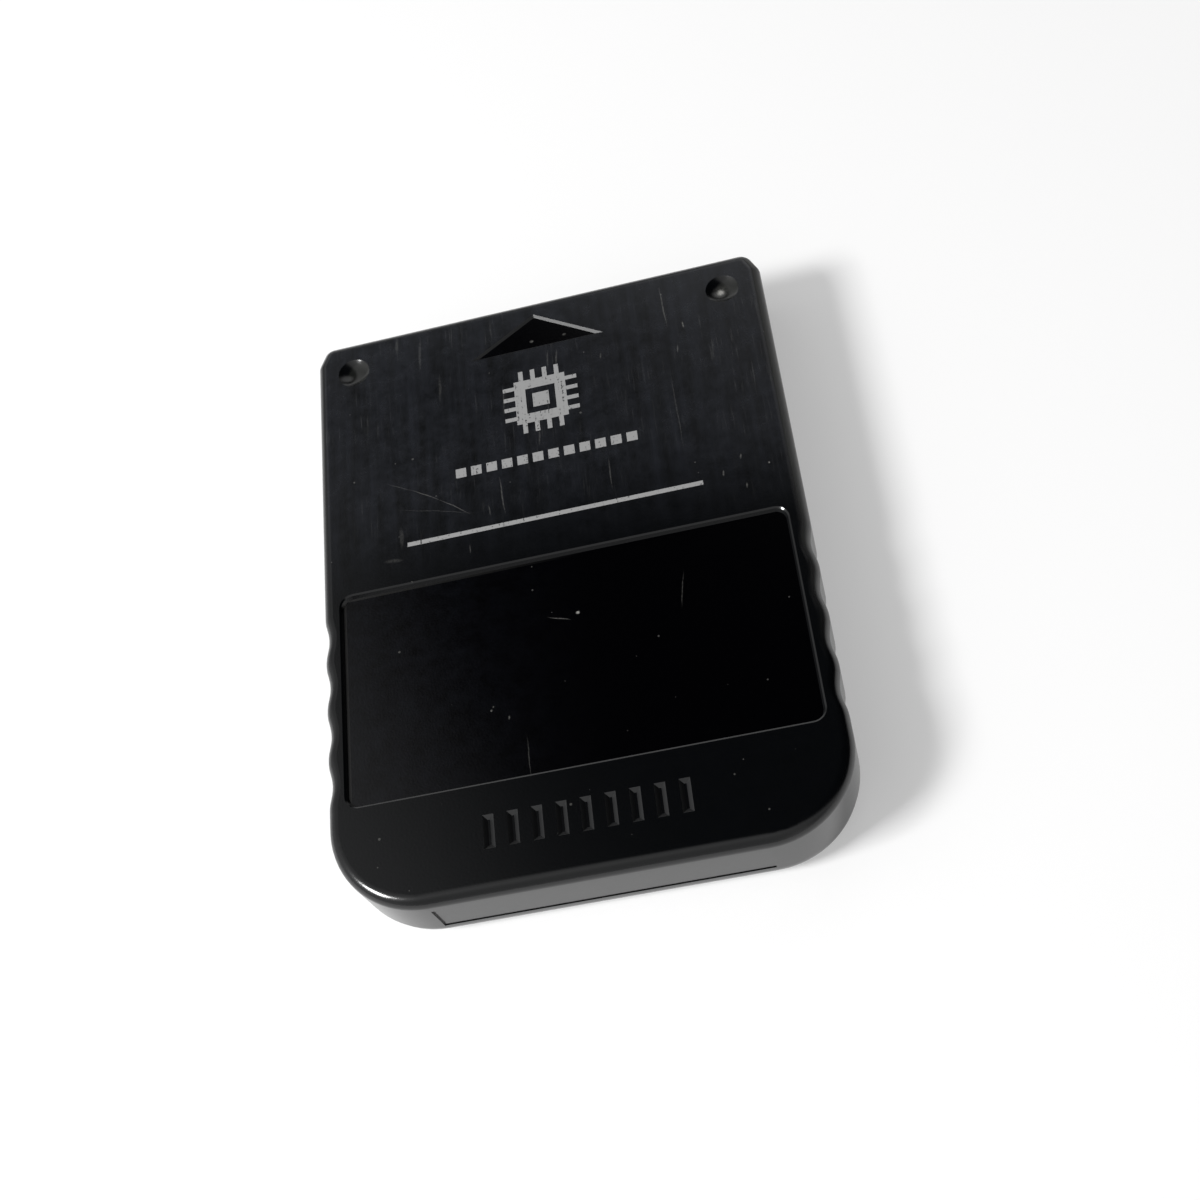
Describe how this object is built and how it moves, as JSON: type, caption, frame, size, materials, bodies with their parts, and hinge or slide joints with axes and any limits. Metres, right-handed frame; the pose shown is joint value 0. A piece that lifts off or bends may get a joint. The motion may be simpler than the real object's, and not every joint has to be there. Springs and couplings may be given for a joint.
{
  "type": "console memory card",
  "caption": "Flat black memory card for a game console, with a label recess, an insertion arrow, scalloped grips and a contact window on its back.",
  "frame": {"origin": "centre of the back face, which the card lies on", "axes": "+Z out of the label face, +Y towards the connector end, +X to the right seen from the front"},
  "size_m": [0.042, 0.056, 0.008],
  "materials": {
    "front_plastic": "satin moulded, with fine insertion scuffs",
    "back_plastic": "satin moulded",
    "board_laminate": "green solder mask on glass laminate",
    "contact_gold": "gold plated",
    "package_mould": "moulded epoxy",
    "tinned_leads": "tinned",
    "resonator_case": "dipped coat",
    "capacitor_case": "moulded epoxy",
    "ceramic": "fired ceramic",
    "resistor_ceramic": "glazed film on ceramic"
  },
  "bodies": {
    "root": {"front_shell": "front_plastic", "back_shell": "back_plastic", "circuit_board": "board_laminate", "controller_chip": "package_mould", "memory_chip": "package_mould", "controller_leads": "tinned_leads", "memory_leads": "tinned_leads", "resonator": "resonator_case", "smoothing_capacitor": "capacitor_case", "contact_1": "contact_gold", "contact_2": "contact_gold", "contact_3": "contact_gold", "contact_4": "contact_gold", "contact_5": "contact_gold", "contact_6": "contact_gold", "contact_7": "contact_gold", "contact_8": "contact_gold", "capacitor_1": "ceramic", "capacitor_2": "ceramic", "capacitor_3": "ceramic", "capacitor_4": "ceramic", "resistor_1": "resistor_ceramic", "resistor_2": "resistor_ceramic", "resistor_3": "resistor_ceramic", "resistor_4": "resistor_ceramic"}
  },
  "joints": []
}
